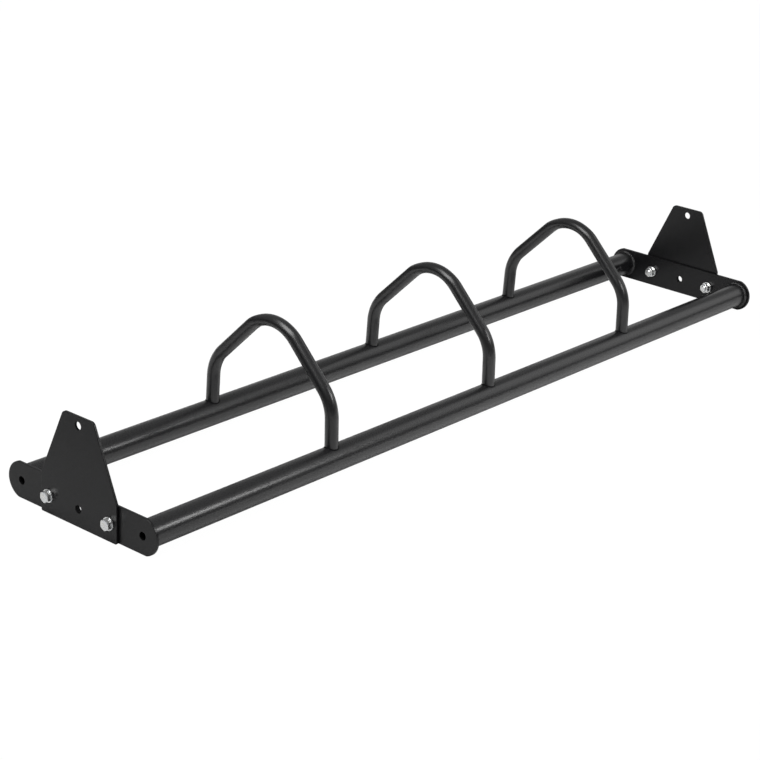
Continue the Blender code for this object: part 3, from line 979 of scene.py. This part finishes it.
washer_radius = (washer_high.z - washer_low.z) / 2
washer_thickness = washer_high.x - washer_low.x
washer_rings = [axis_ring(WASHER_BORE + RIM_BREAK, 0.0), axis_ring(washer_radius - RIM_BREAK, 0.0)]
washer_rings.append(axis_ring(washer_radius, RIM_BREAK))
for turn in QUARTER_TURN:
    reach = washer_radius - RIM_ROUND * (1 - math.cos(turn))
    washer_rings.append(axis_ring(reach, washer_thickness - RIM_ROUND * (1 - math.sin(turn))))
for turn in reversed(QUARTER_TURN):
    reach = WASHER_BORE + RIM_BREAK * (1 - math.cos(turn))
    washer_rings.append(axis_ring(reach, washer_thickness - RIM_BREAK * (1 - math.sin(turn))))
washer_rings.append(axis_ring(WASHER_BORE, RIM_BREAK))
washer_mesh = mesh_of("flat_washer", skin(washer_rings), [washer_zinc])
print(f"nut of {len(nut_mesh.polygons)} faces, washer of {len(washer_mesh.polygons)} faces")

# %% [markdown]
# Each fastener is modelled with its axis along X and its outer face towards positive X. At
# the left end it is turned half round, so that heads face outwards at both ends. Its seat is
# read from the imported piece: the inner end of the node's box, or for a bolt the end under
# its head.

# %% Fasten both ends
def seat_place(node, end, seat):
    """Where a fastener goes: on its node's axis, with its seat at a distance from the middle."""
    low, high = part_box(node)
    middle = (low + high) / 2
    turn = Matrix.Rotation(0.0 if end > 0 else math.pi, 4, "Z")
    return Matrix.Translation((end * seat, middle.y, middle.z)) @ turn


def inner_end(node):
    """How far from the middle of the rack a node begins."""
    low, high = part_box(node)
    return min(abs(low.x), abs(high.x))


fasteners = []
for side, end in (("left", -1), ("right", 1)):
    for row in ("front", "back"):
        stack = f"{side}_{row}"
        bolt_place = seat_place(f"{stack}_bolt", end, HEAD_SEAT)
        fasteners.append(
            fit_piece(f"{stack}_hex_bolt", bolt_mesh, f"{stack}_bolt", bolt_place))
        for label, mesh, finish in (
            ("head_washer", washer_mesh, "washer_zinc"),
            ("nut_washer", washer_mesh, "washer_zinc"),
            ("nut", nut_mesh, "nut_zinc"),
        ):
            node = f"{stack}_{label}"
            place = seat_place(node, end, inner_end(node))
            fasteners.append(fit_piece(f"{node}_fine", mesh, node, place))
for piece in fasteners:
    even_faces(piece)
print("fasteners in place:", len(fasteners))

# %% [markdown]
# ## Floor
#
# The rack stands on a plain white sweep. To the camera, and through anything clear, the
# floor has to be as white as the background, whatever light falls on it, so nearly all of
# what is seen there is a glow with a strength of about 1. The small rest is painted floor
# that takes light, and with it the soft shadow under the rack.
#
# Where the coat or the zinc mirrors the floor, the glow has only a small share, so that they
# mirror the paint with its light and shade. The paint is white under the rack and gets
# greyer towards the left, as painted shade, so that the plates at the near end mirror a darker floor.

# %% A pale floor that keeps the shadow
FLOOR_SIDE = 24.0
FLOOR_CLEARANCE = 0.1 * MM
GLOW_STRENGTH = 1.03
CAMERA_GLOW = 0.96
MIRRORED_GLOW = 0.05
FLOOR_SHADE_START = -1.3
FLOOR_SHADE_END = 0.0

floor_paint = bpy.data.materials.new("matt_floor_paint")
floor_paint.use_nodes = True
tree = floor_paint.node_tree
tree.nodes.clear()
path = add_node(tree, "ShaderNodeLightPath")
seen = add_node(
    tree,
    "ShaderNodeMath",
    {"operation": "MAXIMUM"},
    {0: path.outputs["Is Camera Ray"], 1: path.outputs["Is Transmission Ray"]},
)
seen_share = add_node(
    tree,
    "ShaderNodeMath",
    {"operation": "MULTIPLY", 1: CAMERA_GLOW},
    {0: seen.outputs["Value"]},
)
mirrored_share = add_node(
    tree,
    "ShaderNodeMath",
    {"operation": "MULTIPLY", 1: MIRRORED_GLOW},
    {0: path.outputs["Is Glossy Ray"]},
)
share = add_node(
    tree,
    "ShaderNodeMath",
    {"operation": "MAXIMUM"},
    {0: seen_share.outputs["Value"], 1: mirrored_share.outputs["Value"]},
)
where = add_node(tree, "ShaderNodeTexCoord").outputs["Object"]
along = add_node(tree, "ShaderNodeSeparateXYZ", links={0: where}).outputs["X"]
# The paint's grey towards the left is painted shade on the floor.
lightness = add_node(
    tree,
    "ShaderNodeMapRange",
    {"From Min": FLOOR_SHADE_START, "From Max": FLOOR_SHADE_END},
    {"Value": along},
)
shaded_paint_tint = add_node(
    tree,
    "ShaderNodeMix",
    {"data_type": "RGBA", 6: colour("#b0b0b0"), 7: colour("#fcfcfc")},
    {0: lightness.outputs["Result"]},
)
paint = add_node(tree, "ShaderNodeBsdfDiffuse", links={"Color": shaded_paint_tint.outputs[2]})
glow = add_node(tree, "ShaderNodeEmission", {"Color": colour("#ffffff"), "Strength": GLOW_STRENGTH})
mixed = add_node(
    tree,
    "ShaderNodeMixShader",
    links={0: share.outputs["Value"], 1: paint.outputs["BSDF"], 2: glow.outputs["Emission"]},
)
add_node(tree, "ShaderNodeOutputMaterial", links={"Surface": mixed.outputs["Shader"]})

shape = bmesh.new()
bmesh.ops.create_grid(shape, x_segments=1, y_segments=1, size=FLOOR_SIDE / 2)
floor = bpy.data.objects.new("floor", mesh_of("floor", shape, [floor_paint]))
floor.location = (0.0, 0.0, -FLOOR_CLEARANCE)
bpy.context.scene.collection.objects.link(floor)
print(f"a floor of {FLOOR_SIDE:.0f} by {FLOOR_SIDE:.0f} m")

# %% [markdown]
# ## Light
#
# The light is that of a plain studio. The camera sees white all round, and the light that
# spreads from all sides is even and weak. A black gloss shows little but what it mirrors, so
# the mirrored room has a shape of its own: a dark band stands on the horizon and rises into
# a dim ceiling. The band draws the dark line that runs along each rail between the lit floor
# below and the lamps above. It gets lighter to the right, where the far end of the rails
# mirrors it, and the line fades there.

# %% The studio around the rack
HORIZON_FRONT = 0.02
HORIZON_RIGHT = 0.30
FADE_START = 0.60
FADE_END = 0.80
CEILING = 0.38
HORIZON_END = 0.12
CEILING_START = 0.45
STUDIO_LIGHT = 0.35

world = bpy.data.worlds.new("white_studio")
bpy.context.scene.world = world
world.use_nodes = True
tree = world.node_tree
tree.nodes.clear()
heading = add_node(tree, "ShaderNodeTexCoord").outputs["Generated"]
axes = add_node(tree, "ShaderNodeSeparateXYZ", links={0: heading})
horizon = add_node(
    tree,
    "ShaderNodeMapRange",
    {"From Min": FADE_START, "From Max": FADE_END, "To Min": HORIZON_FRONT, "To Max": HORIZON_RIGHT},
    {"Value": axes.outputs["X"]},
)
ceiling = add_node(
    tree,
    "ShaderNodeMapRange",
    {"From Min": HORIZON_END, "From Max": CEILING_START, "To Max": CEILING},
    {"Value": axes.outputs["Z"], "To Min": horizon.outputs["Result"]},
)
path = add_node(tree, "ShaderNodeLightPath")
mirrored = add_node(
    tree,
    "ShaderNodeMix",
    {"data_type": "FLOAT", 2: 1.0},
    {0: path.outputs["Is Glossy Ray"], 3: ceiling.outputs["Result"]},
)
strength = add_node(
    tree,
    "ShaderNodeMix",
    {"data_type": "FLOAT", 3: STUDIO_LIGHT},
    {0: path.outputs["Is Diffuse Ray"], 2: mirrored.outputs[0]},
)
studio = add_node(
    tree,
    "ShaderNodeBackground",
    {"Color": colour("#ffffff")},
    {"Strength": strength.outputs[0]},
)
add_node(tree, "ShaderNodeOutputWorld", links={"Surface": studio.outputs["Background"]})
print(f"studio light at {STUDIO_LIGHT}, ceiling at {CEILING}")

# %% [markdown]
# Four soft lamps stand round the rack:
#
# - The top lamp hangs over the near end. It lights the floor, which the rails mirror in
#   their lower halves, and the faces of the near plates.
# - The front lamp is small and bright. It draws the highlight on the near end of the rails,
#   which fades along them because the angle there misses the lamp.
# - The side lamp is large and far off to the right. It carries a weaker highlight on to the
#   far end, and lights the front slopes of the dividers.
# - The back lamp is low and dim, for a light edge on the back of the tubes.

# %% Soft lamps
def soft_lamp(name, place, target, size, brightness):
    """A rectangular lamp of a given brightness. Its power grows with its area."""
    light = bpy.data.lights.new(name, "AREA")
    light.shape = "RECTANGLE"
    light.size, light.size_y = size
    light.energy = brightness * math.pi * light.size * light.size_y
    lamp = bpy.data.objects.new(name, light)
    lamp.location = place
    lamp.rotation_euler = (Vector(target) - Vector(place)).to_track_quat("-Z", "Y").to_euler()
    lamp.visible_camera = False
    bpy.context.scene.collection.objects.link(lamp)
    return lamp


soft_lamp("top_lamp", (-1.15, -0.1, 2.0), (-0.3, 0.0, 0.1), size=(1.0, 1.8), brightness=9.3)
soft_lamp("front_lamp", (0.4, -1.45, 1.0), (-0.6, 0.0, 0.1), size=(0.45, 0.45), brightness=15.0)
soft_lamp("side_lamp", (2.5, -1.25, 1.5), (0.1, -0.1, 0.05), size=(1.6, 2.2), brightness=1.1)
soft_lamp("back_lamp", (2.1, 2.0, 0.8), (0.0, 0.0, 0.1), size=(3.0, 0.8), brightness=0.5)
print("lamps:", len(bpy.data.lights))

# %% [markdown]
# ## Camera
#
# The camera looks down along the rack from its left front corner. Its place was worked out
# from the straight edges of the object: it stands 3.97 m from a point on the rack, turned
# 50 degrees from the front and raised 21 degrees, with the frame tipped by 3 degrees.

# %% The camera
CAMERA_TURN = math.radians(-50.138)
CAMERA_RISE = math.radians(21.325)
CAMERA_ROLL = math.radians(2.940)
CAMERA_DISTANCE = 3.9707
LENS = 98.0
CAMERA_TARGET = Vector((-0.1466, 0.0, 0.0620))

flat_reach = math.cos(CAMERA_RISE)
backward = Vector((
    math.sin(CAMERA_TURN) * flat_reach,
    -math.cos(CAMERA_TURN) * flat_reach,
    math.sin(CAMERA_RISE),
))
level_right = (-backward).cross(Vector((0.0, 0.0, 1.0))).normalized()
level_up = level_right.cross(-backward)
rightward = level_right * math.cos(CAMERA_ROLL) + level_up * math.sin(CAMERA_ROLL)
upward = level_up * math.cos(CAMERA_ROLL) - level_right * math.sin(CAMERA_ROLL)
turned = Matrix((rightward, upward, backward)).transposed().to_4x4()

lens = bpy.data.cameras.new("camera")
lens.lens = LENS
camera = bpy.data.objects.new("camera", lens)
camera.matrix_world = Matrix.Translation(CAMERA_TARGET + CAMERA_DISTANCE * backward) @ turned
bpy.context.scene.collection.objects.link(camera)
bpy.context.scene.camera = camera
bpy.context.scene.view_settings.view_transform = "Standard"
print("camera at", [round(value, 3) for value in camera.matrix_world.translation])
